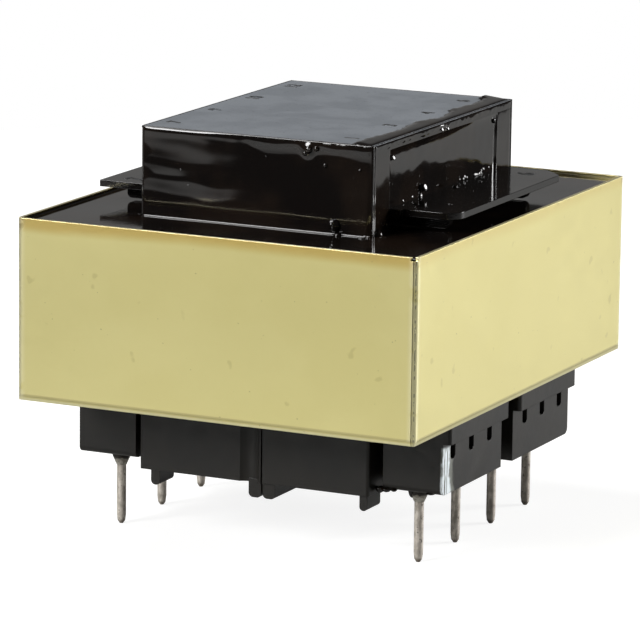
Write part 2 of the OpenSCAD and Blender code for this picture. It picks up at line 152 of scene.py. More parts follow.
# ---------------------------------------------------------------- materials
def yellow_passivated_steel():
    """Thin steel sheet, zinc plated and yellow passivated in a bath: a pale greenish gold, satin,
    under a thin clear film that whitens it at a glance. The bath left a deeper gold under the
    upper edge and brown spots, and the plating cracked grey at the bends. The tone is paler and
    mottled near the upright corners, and it holds painted light: a painted highlight along the
    upper and the lower edge, and a line of painted shade along the bend near the lower edge."""
    made, tree, shader, place = material("yellow_passivated_steel", Metallic=0.92, Coat_Weight=1.0,
                                         Coat_Roughness=0.35)
    x, y, z = node(tree, "SeparateXYZ", (place,)).node.outputs
    clouds = grain(tree, place, 14 * MM, 3.0, (1, 1, 0.7))
    fine = grain(tree, place, 1.6 * MM, 4.0)
    long_x = node(tree, "Math", (x,), operation="ABSOLUTE")
    long_y = node(tree, "Math", (y,), operation="ABSOLUTE")
    sides = within(tree, long_y, BAND_HIGH.y - 0.1 * MM, NO_LIMIT, 0.1 * MM)
    wavy = node(tree, "Math", (clouds, 1.2 * MM, z), operation="MULTIPLY_ADD")
    under_edge = within(tree, wavy, BAND_HIGH.z + 0.3 * MM, NO_LIMIT, 1.1 * MM)
    more_on_sides = node(tree, "Math", (under_edge, sides), operation="MULTIPLY")
    # a line of painted shade along the bend just above the lower edge
    crease = within(tree, z, BAND_LOW.z + 0.42 * MM, BAND_LOW.z + 0.52 * MM, 0.14 * MM)
    bend = within(tree, long_x, BAND_HIGH.x - 0.19 * MM, BAND_HIGH.x - 0.11 * MM, 0.06 * MM, sides)
    near_x_ends = within(tree, long_x, BAND_HIGH.x - 0.3 * MM, NO_LIMIT, 0.7 * MM)
    near_y_ends = within(tree, long_y, BAND_HIGH.y - 0.3 * MM, NO_LIMIT, 0.7 * MM)
    # paler and mottled close to the upright corners
    pale_near_corners = within(tree, fine, 0.42, NO_LIMIT, 0.1, near_x_ends, near_y_ends)
    brown = grain(tree, place, 0.8 * MM, 3.0)
    stains = within(tree, brown, 0.60, NO_LIMIT, 0.08, near_x_ends, near_y_ends, under_edge)
    cracks = within(tree, grain(tree, place, 0.30 * MM, 2.0, (1, 1, 1.4)), 0.54, NO_LIMIT, 0.05, bend)
    tone = painted(
        tree, colour("#dbd18d"),
        (colour("#e2d998"), within(tree, clouds, 0.6, NO_LIMIT, 0.2), 0.4),
        (colour("#d3c983"), within(tree, grain(tree, place, 22 * MM), 0.62, NO_LIMIT, 0.2), 0.3),
        (colour("#c9a94b"), under_edge, 0.25),
        (colour("#c3a347"), more_on_sides, 0.65),
        # painted shade in the bend
        (colour("#9c8f5c"), crease, 0.5),
        # painted highlight on the lip below the bend, along the lower edge
        (colour("#f3edc0"), within(tree, z, BAND_LOW.z - MM, BAND_LOW.z + 0.2 * MM, 0.08 * MM), 0.6),
        # paler near the upright corners
        (colour("#efeac4"), pale_near_corners, 0.5),
        (colour("#8b7a3a"), within(tree, grain(tree, place, 2.2 * MM), 0.74, NO_LIMIT, 0.05), 0.2),
        (colour("#5f5836"), within(tree, grain(tree, place, 0.4 * MM, 1.0), 0.82, NO_LIMIT, 0.03), 0.4),
        (colour("#8f7a35"), stains, 0.6),
        (colour("#484439"), cracks, 0.75),
        # painted highlight along the upper edge
        (colour("#fff6cf"), within(tree, z, BAND_HIGH.z - 0.02 * MM, NO_LIMIT, 0.02 * MM), 0.5),
    )
    finish_with(tree, shader, tone, fine, 0.41, 0.43)
    waves = grain(tree, place, 9 * MM, 1.0)
    surface(tree, shader, (waves, 0.012 * MM), (fine, 0.003 * MM), (cracks, 0.02 * MM))
    return made


def dipped_nylon():
    """Black glass-filled nylon, moulded with a fine matt grain, then dipped: glassy where the
    varnish stood above the core, satin below it, where it drained. The corner of one rail is
    scuffed white."""
    made, tree, shader, place = material("dipped_nylon", IOR=1.45)
    x, y, z = node(tree, "SeparateXYZ", (place,)).node.outputs
    wet = within(tree, z, CORE_LOW.z + 6 * MM, NO_LIMIT, 4 * MM)
    mottle = grain(tree, place, 5 * MM, 3.0)
    patches = within(tree, mottle, 0.55, NO_LIMIT, 0.15)
    # the scuff starts at the rail's corner and fades along its outer face
    below_lip = within(tree, z, 2.2 * MM, 6.2 * MM, 0.5 * MM)
    on_face = within(tree, x, RAIL_FACE - 0.12 * MM, NO_LIMIT, 0.15 * MM, below_lip)
    strokes = grain(tree, place, 0.36 * MM, 3.0, (1, 1, 9))
    ragged = node(tree, "Math", (grain(tree, place, 1.6 * MM, 3.0), 2.4 * MM, y), operation="MULTIPLY_ADD")
    core = within(tree, ragged, BOBBIN_LOW.y + 1.5 * MM, BOBBIN_LOW.y + 2.5 * MM, 0.6 * MM)
    haze = within(tree, ragged, BOBBIN_LOW.y + 0.6 * MM, BOBBIN_LOW.y + 3.4 * MM, 0.8 * MM, on_face)
    tone = painted(
        tree, colour("#0f0d09"),
        (colour("#15120d"), patches),
        (colour("#0d0b0a"), wet),
        (colour("#7d7f78"), within(tree, strokes, 0.40, NO_LIMIT, 0.12, haze), 0.75),
        (colour("#e6eef2"), within(tree, strokes, 0.46, NO_LIMIT, 0.08, core, on_face)),
    )
    satin = node(tree, "MapRange", (grain(tree, place, 2 * MM, 3.0), 0.3, 0.7, 0.36, 0.46))
    glassy = node(tree, "MapRange", (mottle, 0.3, 0.7, 0.05, 0.11))
    rough = node(tree, "Mix", {0: wet, 2: satin, 3: glassy}, 0)
    tree.links.new(tone, shader.inputs["Base Color"])
    tree.links.new(rough, shader.inputs["Roughness"])
    drained = grain(tree, place, 4.5 * MM, 2.0, (2.5, 2.5, 1))
    waves = node(tree, "Math", (drained, wet), operation="MULTIPLY")
    surface(tree, shader, (waves, 0.08 * MM), (grain(tree, place, 0.30 * MM, 2.0), 0.006 * MM))
    return made


def moulded_cover():
    """The same nylon on the cover's top, which stood out of the varnish and kept its dusty,
    finely spark-eroded mould grain. Its grey is partly that dust and partly a painted sheen, the
    light that the grain mirrors at a glance. Its sides lie under the varnish skins."""
    made, tree, shader, place = material("moulded_cover", IOR=1.5)
    z = node(tree, "SeparateXYZ", (place,), "Z")
    top = within(tree, z, COVER_HIGH.z - 0.02 * MM, NO_LIMIT, 0.02 * MM)
    mottle = grain(tree, place, 4 * MM, 3.0)
    pits = grain(tree, place, 0.3 * MM, 2.0)
    tone = painted(
        tree, colour("#121010"),
        # the grey of the top: dust, and a painted sheen of the light it mirrors at a glance
        (colour("#62666b"), top),
        (colour("#6c7075"), within(tree, mottle, 0.6, NO_LIMIT, 0.2, top), 0.7),
        (colour("#3c3e41"), within(tree, pits, 0.70, NO_LIMIT, 0.05, top), 0.5),
    )
    matt = node(tree, "MapRange", (mottle, 0.3, 0.7, 0.46, 0.52))
    tree.links.new(tone, shader.inputs["Base Color"])
    tree.links.new(node(tree, "Mix", {0: top, 2: 0.06, 3: matt}, 0), shader.inputs["Roughness"])
    surface(tree, shader, (pits, 0.008 * MM))
    return made


def baking_varnish():
    """Black-brown baking varnish that set in a skin: deep, glassy, smooth, a little browner where
    it lies thick."""
    made, tree, shader, place = material("baking_varnish", IOR=1.5)
    broad = grain(tree, place, 6 * MM, 3.0)
    tone = painted(tree, colour("#0d0a09"), (colour("#17110d"), within(tree, broad, 0.6, NO_LIMIT, 0.2)))
    finish_with(tree, shader, tone, broad, 0.05, 0.10)
    surface(tree, shader, (grain(tree, place, 2.5 * MM, 1.0), 0.006 * MM), edges=False)
    return made


def moulded_mark():
    """Figures moulded proud of the cover's top. The dust wore off them, so they are dark."""
    made, tree, shader, place = material("moulded_mark", IOR=1.5)
    wear = grain(tree, place, 0.6 * MM, 3.0)
    tone = painted(tree, colour("#1d1c1c"), (colour("#35373a"), within(tree, wear, 0.6, NO_LIMIT, 0.1)))
    finish_with(tree, shader, tone, wear, 0.3, 0.45)
    surface(tree, shader, (wear, 0.01 * MM))
    return made


def dull_tin():
    """Hot-dip tin on a drawn wire: grey, dull, mottled, with dark specks of varnish and a brown
    tint at the point and close to the rail."""
    made, tree, shader, place = material("dull_tin", Metallic=0.3)
    z = node(tree, "SeparateXYZ", (place,), "Z")
    mottle = grain(tree, place, 0.5 * MM, 4.0, (1, 1, 1.5))
    specks = grain(tree, place, 0.32 * MM, 2.0, (1, 1, 1.3))
    tone = painted(
        tree, colour("#a9a196"),
        (colour("#cdc5ba"), within(tree, mottle, 0.6, NO_LIMIT, 0.25)),
        (colour("#dcd5ca"), within(tree, mottle, 0.66, NO_LIMIT, 0.04), 0.6),
        (colour("#635a4c"), within(tree, z, 1.2 * MM, NO_LIMIT, 1.4 * MM), 0.5),
        (colour("#5f5140"), within(tree, z, -NO_LIMIT, -4.8 * MM, 0.35 * MM), 0.6),
        (colour("#37322b"), within(tree, specks, 0.70, NO_LIMIT, 0.05), 0.65),
    )
    finish_with(tree, shader, tone, mottle, 0.50, 0.34)
    pits = grain(tree, place, 0.15 * MM, 2.0)
    surface(tree, shader, (mottle, 0.035 * MM), (pits, 0.01 * MM), edges=False)
    return made


def soft_solder():
    """Tin-lead solder round a pin's root, dull, smeared with flux and varnish under the rail."""
    made, tree, shader, place = material("soft_solder", Metallic=0.6)
    z = node(tree, "SeparateXYZ", (place,), "Z")
    mottle = grain(tree, place, 0.4 * MM, 3.0)
    smear = node(tree, "Math", (mottle, 0.9 * MM, z), operation="MULTIPLY_ADD")
    tone = painted(
        tree, colour("#8b867c"),
        (colour("#b7b2a7"), within(tree, mottle, 0.6, NO_LIMIT, 0.2)),
        (colour("#1d1916"), within(tree, smear, 1.95 * MM, NO_LIMIT, 0.25 * MM), 0.95),
    )
    finish_with(tree, shader, tone, mottle, 0.44, 0.30)
    surface(tree, shader, (mottle, 0.04 * MM), edges=False)
    return made


def silicon_steel():
    """Rolled silicon steel under varnish: dark brown-grey, with the fine lines of the roll."""
    made, tree, shader, place = material("silicon_steel", Metallic=0.6)
    lines = grain(tree, place, 0.3 * MM, 3.0, (12, 1, 1))
    tone = painted(tree, colour("#37322d"), (colour("#544d45"), lines))
    finish_with(tree, shader, tone, lines, 0.35, 0.5)
    surface(tree, shader, (lines, 0.01 * MM), edges=False)
    return made


def enamelled_copper(turn=0.28 * MM):
    """Copper wire under clear brown enamel, laid side by side along the coil: one ridge a turn,
    lighter on its crest and darker in the grooves, a painted highlight and painted shade.
    """
    made, tree, shader, place = material("enamelled_copper", Metallic=0.7)
    x = node(tree, "SeparateXYZ", (place,), "X")
    phase = node(tree, "Math", (x, math.pi / turn), operation="MULTIPLY")
    wave = node(tree, "Math", (phase,), operation="SINE")
    ridge = node(tree, "Math", (wave,), operation="ABSOLUTE")
    # painted highlight on each turn's crest and painted shade in the grooves between turns
    tone = painted(tree, colour("#5a2a14"), (colour("#b4622f"), ridge))
    finish_with(tree, shader, tone, grain(tree, place, 2 * MM), 0.22, 0.35)
    surface(tree, shader, (ridge, 0.12 * MM), edges=False)
    return made


def polyester_film():
    """Yellow polyester tape wound over the coil: smooth, slightly creased where it laps."""
    made, tree, shader, place = material("polyester_film", IOR=1.6)
    crease = grain(tree, place, 3 * MM, 2.0, (1, 6, 6))
    tone = painted(tree, colour("#b08d2c"), (colour("#d9b548"), crease))
    finish_with(tree, shader, tone, crease, 0.18, 0.32)
    surface(tree, shader, (crease, 0.05 * MM), edges=False)
    return made


# ---------------------------------------------------------------- meshes
def piece(name, points, faces, finish, smooth=True):
    """A closed mesh piece of the part, which rides on its only body."""
    mesh = bpy.data.meshes.new(name)
    mesh.from_pydata([tuple(p) for p in points], [], faces)
    mesh.validate()
    shell = bmesh.new()
    shell.from_mesh(mesh)
    bmesh.ops.recalc_face_normals(shell, faces=shell.faces)
    shell.to_mesh(mesh)
    shell.free()
    mesh.polygons.foreach_set("use_smooth", [smooth] * len(mesh.polygons))
    made = bpy.data.objects.new(name, mesh)
    bpy.context.scene.collection.objects.link(made)
    made.data.materials.append(finish)
    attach(made, "root")
    return made


def steps(low, high, dense, fine, coarse):
    """Places from low to high and at the dense ones: close together near those, and further and
    further apart away from them."""
    growth = 0.35
    at, places = low, {low, high, *dense}
    while at < high:
        away = min(abs(at - d) for d in dense)
        at += min(coarse, fine + growth * away)
        if at < high and min(abs(at - d) for d in dense) > fine / 2:
            places.add(at)
    return sorted(places)


def skin(name, us, vs, height, back, keep, put, finish):
    """A closed skin of varnish over the kept cells of a grid. Its outer face follows a height
    and its back is flat. put turns a place on the grid and a height into a point."""
    points, faces, index = [], [], {}

    def corner(i, j, outer):
        key = (i, j, outer)
        if key not in index:
            index[key] = len(points)
            points.append(put(us[i], vs[j], height(us[i], vs[j]) if outer else back))
        return index[key]

    cells = {(i, j) for i in range(len(us) - 1) for j in range(len(vs) - 1)
             if keep((us[i] + us[i + 1]) / 2, (vs[j] + vs[j + 1]) / 2)}
    for i, j in sorted(cells):
        ring = [(i, j), (i + 1, j), (i + 1, j + 1), (i, j + 1)]
        faces.append([corner(a, b, True) for a, b in ring])
        faces.append([corner(a, b, False) for a, b in reversed(ring)])
        for k, beside in enumerate(((i, j - 1), (i + 1, j), (i, j + 1), (i - 1, j))):
            if beside not in cells:
                start, end = ring[k], ring[(k + 1) % 4]
                faces.append([corner(*start, False), corner(*end, False),
                              corner(*end, True), corner(*start, True)])
    return piece(name, points, faces, finish)


def dome(points, faces, foot, normal, radius, height, seed, rings=7, sides=20):
    """Adds one closed drop: a lumpy flattened dome that stands on a face and sinks in a little."""
    lumpy, sink = 0.14, 0.15
    turn = Vector(normal).to_track_quat("Z", "Y").to_matrix()
    first = len(points)
    for ring in range(rings):
        lift = ring / (rings - 1) * math.pi / 2
        for side in range(sides):
            angle = 2 * math.pi * side / sides
            wobble = 1 + lumpy * noise.noise((math.cos(angle) + seed, math.sin(angle), seed * 1.7))
            flat = Vector((math.cos(angle) * math.cos(lift) * radius * wobble,
                           math.sin(angle) * math.cos(lift) * radius * wobble,
                           height * (math.sin(lift) - sink)))
            if ring < rings - 1 or side == 0:
                points.append(Vector(foot) + turn @ flat)
    top = len(points) - 1
    for ring in range(rings - 2):
        for side in range(sides):
            a = first + ring * sides + side
            b = first + ring * sides + (side + 1) % sides
            faces.append([a, b, b + sides, a + sides])
    last = first + (rings - 2) * sides
    faces += [[last + side, last + (side + 1) % sides, top] for side in range(sides)]
    faces.append([first + side for side in reversed(range(sides))])


def roll(points, faces, path, radius, sides=12):
    """Adds a closed roll of varnish along a closed path, with its own radius at each point."""
    first, count = len(points), len(path)
    for i, at in enumerate(path):
        along = (path[(i + 1) % count] - path[i - 1]).normalized()
        across = along.cross(Vector((0, 0, 1))).normalized()
        up = across.cross(along)
        for side in range(sides):
            angle = 2 * math.pi * side / sides
            points.append(at + (across * math.cos(angle) + up * math.sin(angle)) * radius[i])
    for i in range(count):
        a, b = first + i * sides, first + (i + 1) % count * sides
        for side in range(sides):
            after = (side + 1) % sides
            faces.append([a + side, b + side, b + after, a + after])


def ripple(u, v, length, width, seed):
    """Smooth noise from about -1 to 1, with waves of that length along u and that width along v,
    in millimetres."""
    return 2 * noise.noise((u / (length * MM), v / (width * MM), seed))


def blend(value, low, high):
    """Smooth step from 0 at low to 1 at high."""
    share = max(0.0, min(1.0, (value - low) / (high - low)))
    return share * share * (3 - 2 * share)


def hill(away, width):
    """Bell curve: 1 in the middle, nearly 0 at twice the width from it."""
    return math.exp(-(away / width) ** 2)


# ---------------------------------------------------------------- varnish that stayed on
INNER = Vector((BAND_HIGH.x - SHEET - 0.01 * MM, BAND_HIGH.y - SHEET - 0.01 * MM))
RECESS = COVER_HIGH.x - PANEL_FACE
POOL_DEPTH = 0.07 * MM     # depth of the pool over the core
POOL_WAVE = 0.012 * MM     # height of the faint waves that it set in
CREEP = 0.14 * MM          # how far the pool climbs a wall, sideways
CLIMB = 0.14 * MM          # how high it climbs the band
COVER_CLIMB = 0.4          # share of that height on the ends of the cover
POOL = CORE_HIGH.z + POOL_DEPTH
FOOT = 0.10 * MM           # radius of the fillet between a side's skin and the pool
FILM = 0.02 * MM           # least thickness of a side's skin
FULL = 0.23 * MM           # thickness of that skin just over the pool
TAPER = 0.036              # how much of it goes with each unit of height, outside the sags

# Long sags in the skin on the cover's sides, in millimetres: from and to along X, then from and
# to in height, below the cover's top
SAGS = ((-11.7, -3.2, -3.3, -1.0), (-11.2, -7.0, -4.75, -3.9), (-11.5, -1.6, -6.4, -5.2))


def cover_side(y):
    """Half length of the cover, or of the bobbin's panel in its end opening, at a place along Y."""
    return PANEL_FACE if abs(y) < PANEL_SIDE else COVER_HIGH.x


def pool_height(x, y):
    """Height of the pool's surface: nearly flat, and drawn up along the band and the cover."""
    to_band = min(INNER.x - abs(x), INNER.y - abs(y))
    climb = math.exp(-max(to_band, 0) / CREEP)
    if abs(y) < COVER_HIGH.y:
        climb += COVER_CLIMB * math.exp(-max(abs(x) - cover_side(y), 0) / CREEP)
    return POOL + POOL_WAVE * ripple(x, y, 7, 7, 0) + CLIMB * climb


def varnish_pool(finish):
    """The pool that set on the core, inside the band, drawn up at the walls."""
    walls = [[-a, -b, -c, c, b, a] for a, b, c in ((INNER.x, COVER_HIGH.x, PANEL_FACE),
                                                   (INNER.y, COVER_HIGH.y, PANEL_SIDE))]
    xs, ys = (steps(wall[0], wall[-1], wall, 0.06 * MM, 0.9 * MM) for wall in walls)
    skin("varnish_pool", xs, ys, pool_height, CORE_HIGH.z + 0.004 * MM,
         lambda x, y: abs(x) > cover_side(y) or abs(y) > COVER_HIGH.y,
         lambda x, y, h: (x, y, h), finish)


def fade(to_edge):
    """Thins a skin out to nothing close to an upright edge."""
    return blend(to_edge, 0.12 * MM, 0.42 * MM)


def side_slope(x, z, seed):
    """How the skin on a side thins with height: steadily, but hardly at all within a sag."""
    along = x / MM + 0.9 * ripple(x, z, 3, 1.2, seed)
    level = (z - COVER_HIGH.z) / MM + 0.22 * ripple(x, z, 3.5, 2, seed + 4) + 0.05 * (x / MM + 6)
    sag = max(blend(along, start, start + 0.4) * blend(along, end + 3.0, end - 1.5)
              * blend(level, low, low + 0.3) * blend(level, high + 0.4, high)
              for start, end, low, high in SAGS)
    slope = TAPER * (sag - 1) + 0.010 * ripple(x, z, 5, 1.0, seed + 8)
    return slope * blend(z, POOL + 0.5 * MM, POOL + 1.6 * MM)


def side_skins(finish):
    """The skins on the cover's two long sides, full of long sags, with a lumpy rim on top and a
    drip under it."""
    margin, top_round = 0.2 * MM, 0.3 * MM
    xs = steps(margin - COVER_HIGH.x, COVER_HIGH.x - margin, [COVER_HIGH.x], 0.16 * MM, 0.16 * MM)
    zs = steps(POOL - 0.02 * MM, COVER_HIGH.z - 0.05 * MM, [POOL, COVER_HIGH.z], 0.02 * MM, 0.12 * MM)
    for name, way in (("near_side_skin", -1), ("far_side_skin", 1)):
        columns = {}
        for x in xs:
            thick, column = FULL, []
            for low, high in zip(zs, zs[1:] + zs[-1:]):
                column.append(thick)
                thick += side_slope(-way * x, low, 3 - way) * (high - low)
            columns[x] = dict(zip(zs, column))

        def height(x, z):
            along, below_top = -way * x, COVER_HIGH.z - z
            lumpy = blend(along, -6 * MM, 1 * MM)
            rim = hill((0.28 + 0.2 * lumpy) * MM - below_top, 0.34 * MM)
            rim *= (0.015 + 0.012 * lumpy) * MM * (1 + 0.4 * lumpy * ripple(x, z, 1.1, 0.6, 12))
            above = min(1.0, max(0.0, (z - POOL) / FOOT))
            foot = FOOT * (1 - math.sqrt(above * (2 - above)))
            drip = 0.20 * MM * hill(along - 5.3 * MM, 0.5 * MM) * hill(below_top - 0.8 * MM, 0.5 * MM)
            inside = min(1.0, below_top / top_round)
            sheet = max(FILM, columns[x][z]) * math.sqrt(inside * (2 - inside))
            return (FILM + sheet + rim + drip + foot) * fade(COVER_HIGH.x - abs(x))

        skin(name, xs, zs, height, -0.06 * MM, lambda x, z: True,
             lambda x, z, h: (x, way * (COVER_HIGH.y + h), z), finish)


def end_height(y, z, seed):
    """Height of the skin on an end over the recessed panel: it fills the panel's corners, and
    is lumpy above them."""
    under_wall, beside_post = PANEL_TOP - z, PANEL_SIDE - abs(y)
    if min(under_wall, beside_post) <= 0:
        base = RECESS + 0.03 * MM
    else:
        fill = max(math.exp(-under_wall / (0.5 * MM)), math.exp(-beside_post / (0.14 * MM)))
        base = 0.04 * MM + RECESS * fill
    lumps = 0.03 + 0.05 * abs(ripple(y, z, 1.1, 0.5, seed))
    lumps *= blend(z, PANEL_TOP + 0.1 * MM, PANEL_TOP + 0.4 * MM)
    patch = 0.10 * hill(y + 0.3 * MM, 0.7 * MM) * blend(z, PANEL_TOP - 0.1 * MM, PANEL_TOP)
    wave = 0.02 * ripple(y, z, 6, 3, seed + 2) + 0.006 * ripple(y, z, 1.6, 1.6, seed + 5)
    return (base + (lumps + patch + wave) * MM) * fade(COVER_HIGH.y - abs(y))


def end_skins(finish):
    """The skins on the cover's two ends. Each runs on over the bobbin's panel in the opening."""
    margin = 0.2 * MM
    ys = steps(margin - COVER_HIGH.y, COVER_HIGH.y - margin, [-PANEL_SIDE, PANEL_SIDE],
               0.06 * MM, 0.2 * MM)
    zs = steps(POOL - 0.05 * MM, COVER_HIGH.z - 0.08 * MM, [PANEL_TOP], 0.06 * MM, 0.18 * MM)
    for name, way in (("primary_end_skin", 1), ("secondary_end_skin", -1)):
        skin(name, ys, zs, lambda y, z: end_height(y, z, 20 + way), -0.05 * MM, lambda y, z: True,
             lambda y, z, h: (way * (PANEL_FACE + h), y, z), finish)


def rim_height(x, y):
    """Height of the varnish that crept over the cover's upper edges, below zero where it is dry."""
    creep = 0.45 * ripple(x, y, 5, 5, 31) + 0.12 * ripple(x, y, 1.2, 1.2, 33)
    from_primary = (COVER_HIGH.x - x) / MM
    from_secondary = (x + COVER_HIGH.x) / MM
    from_near = (y + COVER_HIGH.y) / MM
    from_far = (COVER_HIGH.y - y) / MM
    wide = 2.1 + creep + 0.9 * blend(y, 9 * MM, 15 * MM) + 0.3 * blend(y, -9 * MM, -15 * MM)
    narrow = 0.32 + 0.12 * creep + 0.25 * blend(x, -2 * MM, 8 * MM)
    bead = max((0.02 + 0.10 * from_primary) * blend(wide - from_primary, 0, 0.5),
               0.05 * blend(narrow - from_near, 0, 0.25),
               0.06 * blend(0.3 - from_far, 0, 0.2))
    to_edge = min(from_primary, from_near, from_far, from_secondary)
    return (bead - 0.01 - 0.14 * math.exp(-to_edge / 0.2)) * MM


def top_rim(finish):
    """The wet rim on the cover's top: wide at the primary edge, narrow at the long edges."""
    margin, fine, coarse = 0.05 * MM, 0.1 * MM, 0.25 * MM
    xs = steps(margin - COVER_HIGH.x, COVER_HIGH.x - margin, [COVER_HIGH.x], fine, coarse)
    ys = steps(margin - COVER_HIGH.y, COVER_HIGH.y - margin, [-COVER_HIGH.y, COVER_HIGH.y], fine, coarse)
    skin("top_rim", xs, ys, lambda x, y: COVER_HIGH.z + max(rim_height(x, y), -0.10 * MM),
         COVER_HIGH.z - 0.14 * MM,
         lambda x, y: rim_height(x, y) > -0.008 * MM or x > COVER_HIGH.x - MM,
         lambda x, y, h: (x, y, h), finish)


def varnish_rim(finish):
    """The roll that set along the upper edges of the cover: smooth at one end of the near edge,
    lumpy along the rest of it and round the primary end."""
    inset, spacing, proud = 0.12 * MM, 0.14 * MM, 0.03 * MM
    x, y = COVER_HIGH.x - inset, COVER_HIGH.y - inset
    corners = [Vector((-x, -y)), Vector((x, -y)), Vector((x, y)), Vector((-x, y))]
    path = []
    for start, end in zip(corners, corners[1:] + corners[:1]):
        count = int((end - start).length / spacing)
        path += [start.lerp(end, i / count) for i in range(count)]
    size = []
    for at in path:
        lumpy = blend(at.x, -8.5 * MM, -1 * MM)
        lump = 0.025 * ripple(at.x, at.y, 0.45, 0.45, 3) * lumpy + 0.02 * ripple(at.x, at.y, 5, 5, 9)
        size.append(MM * max(0.07, 0.12 + 0.03 * lumpy + lump))
    path = [Vector((at.x, at.y, COVER_HIGH.z - radius + proud)) for at, radius in zip(path, size)]
    points, faces = [], []
    roll(points, faces, path, size)
    piece("varnish_rim", points, faces, finish)


def varnish_drops(finish):
    """Drops, bubbles and runs that set on the cover, the panel, the shelf and the pool. All of
    their places and sizes are in millimetres."""
    points, faces = [], []

    def drop(foot, normal, radius, height, seed, *detail):
        dome(points, faces, [c * MM for c in foot], normal, radius * MM, height * MM, seed, *detail)

    # the outer faces of the near side's skin and of the panel's, and the faces that look upwards
    near, end = -COVER_HIGH.y / MM - 0.2, PANEL_FACE / MM + 0.03
    top, shelf, pool = COVER_HIGH.z / MM, SHELF_TOP / MM, POOL / MM
    across, out, up = (0, -1, 0), (1, 0, 0), (0, 0, 1)
    # the flat upper sides of drops that ran and set, on the near side and on the end
    sagging, leaning = (0, -0.63, 0.77), (0.90, -0.22, 0.38)
    # foot, the face's normal, radius and height
    drops = [
        ((8.2, near, top - 7.55), across, 0.62, 0.75), ((8.7, -16.5, pool), up, 0.4, 0.3),
        ((11.9, -14.7, pool + 0.1), up, 0.5, 0.5), ((11.2, -16.6, pool), up, 0.5, 0.16),
        ((12.6, -15.2, pool), up, 0.35, 0.14), ((5.4, near, top - 0.8), across, 0.40, 0.26),
        ((5.1, near, top - 1.15), across, 0.24, 0.2), ((6.2, near, top - 0.65), across, 0.26, 0.2),
        ((end, -4.6, top - 5.5), out, 0.40, 0.50), ((end, -4.9, top - 6.05), out, 0.18, 0.2),
        ((end + 0.1, -11.6, top - 1.6), out, 0.30, 0.28), ((end + 0.1, 11.7, top - 1.5), out, 0.28, 0.24),
        ((end + 0.25, -0.9, top - 0.5), out, 0.30, 0.12), ((end + 0.25, 0.2, top - 0.6), out, 0.26, 0.12),
        ((12.4, 1.4, shelf), up, 0.30, 0.2), ((13.3, 5.2, shelf), up, 0.2, 0.14),
        ((12.9, -8.6, shelf), up, 0.3, 0.14), ((15.7, -7.2, shelf), up, 0.2, 0.12),
        ((7.1, near, top - 2.1), across, 0.2, 0.1),
        ((8.1, near - 0.45, top - 7.15), sagging, 0.34, 0.12),
        ((end + 0.42, -4.72, top - 5.35), leaning, 0.36, 0.08),
        ((end + 0.1, -4.9, top - 6.1), leaning, 0.22, 0.05),
        ((end + 0.3, -11.55, top - 1.6), leaning, 0.28, 0.06),
        ((12.0, -15.0, pool + 0.45), sagging, 0.26, 0.08), ((11.6, -16.2, pool + 0.1), sagging, 0.2, 0.06),
        ((end + 0.42, -1.0, top - 0.5), leaning, 0.22, 0.05),
        ((end + 0.42, 0.3, top - 0.6), leaning, 0.2, 0.05),
        ((5.6, near - 0.1, top - 0.65), sagging, 0.16, 0.05), ((-7.6, near, top - 3.7), sagging, 0.12, 0.04),
        ((-6.8, near, top - 5.1), sagging, 0.12, 0.04), ((10.6, near, top - 2.2), sagging, 0.12, 0.04),
    ]
    for k, (foot, normal, radius, height) in enumerate(drops):
        drop(foot, normal, radius, height, k * 3.1)

    # clusters of fine drops: middle, spread along Y and upwards, and how many
    clusters = [((end + 0.03, 5.1, top - 6.2), 0.6, 0.2, 6), ((end + 0.03, 8.8, top - 6.0), 1.1, 0.2, 13),
                ((end + 0.03, -7.4, top - 5.7), 1.2, 0.5, 4)]
    fine_rings, fine_sides = 5, 10
    for k, ((x, y, z), along, upwards, count) in enumerate(clusters):
        for n in range(count):
            foot = (x, y + random.gauss(0, along), z + random.gauss(0, upwards))
            radius = random.uniform(0.08, 0.17)
            drop(foot, leaning, radius, 0.25 * radius, 30 + 9 * k + n, fine_rings, fine_sides)

    # lone specks, each on the near side or on the end
    for k in range(12):
        if random.random() < 0.6:
            foot, normal = (random.uniform(-11, 11), near + 0.1, random.uniform(top - 7.5, top - 1)), across
        else:
            foot, normal = (end, random.uniform(-11.5, 11.5), random.uniform(top - 6, top - 2)), out
        drop(foot, normal, random.uniform(0.05, 0.09), 0.04, 90 + k, fine_rings, fine_sides)
    piece("varnish_drops", points, faces, finish)


# Where varnish hangs under the rail by pin 1, in millimetres: place along X and Y from the pin,
# radius, depth
RUNS = ((0, 0, 0.98, 0.62), (-0.55, -0.45, 0.42, 1.1), (0.5, 0.4, 0.4, 0.7), (-2.5, -1.85, 0.5, 0.4),
        (-3.2, -1.7, 0.45, 0.6), (-1.7, -1.95, 0.3, 0.22), (1.9, -1.7, 0.42, 0.16))


def varnish_on_pin(finish):
    """Varnish that ran down to the root of the nearest pin and set round its solder."""
    x, y, _ = PINS["pin_1"]
    down = (0, 0, -1)
    points, faces = [], []
    for k, (from_x, from_y, radius, depth) in enumerate(RUNS):
        foot = (x + from_x * MM, y + from_y * MM, BOBBIN_LOW.z)
        dome(points, faces, foot, down, radius * MM, depth * MM, k * 2.3)
    piece("varnish_on_pin_1", points, faces, finish)


# ---------------------------------------------------------------- moulded marks
def mark(name, words, size, x, y, z, finish):
    """Plain figures, a little proud, lying on an upper face and read from the +X end."""
    curve = bpy.data.curves.new(name, "FONT")
    curve.body = words
    curve.size = size
    curve.align_x = "CENTER"
    curve.align_y = "CENTER"
    curve.extrude = 0.02 * MM
    curve.offset = 0.05 * MM
    made = bpy.data.objects.new(name, curve)
    bpy.context.scene.collection.objects.link(made)
    made.location = (x, y, z)
    made.rotation_euler = (0, 0, math.radians(90))
    bpy.context.view_layer.update()
    mesh = bpy.data.meshes.new_from_object(made)
    mesh.transform(made.matrix_world)
    bpy.data.objects.remove(made)
    points = [v.co.copy() for v in mesh.vertices]
    faces = [list(p.vertices) for p in mesh.polygons]
    bpy.data.meshes.remove(mesh)
    return piece(name, points, faces, finish, smooth=False)


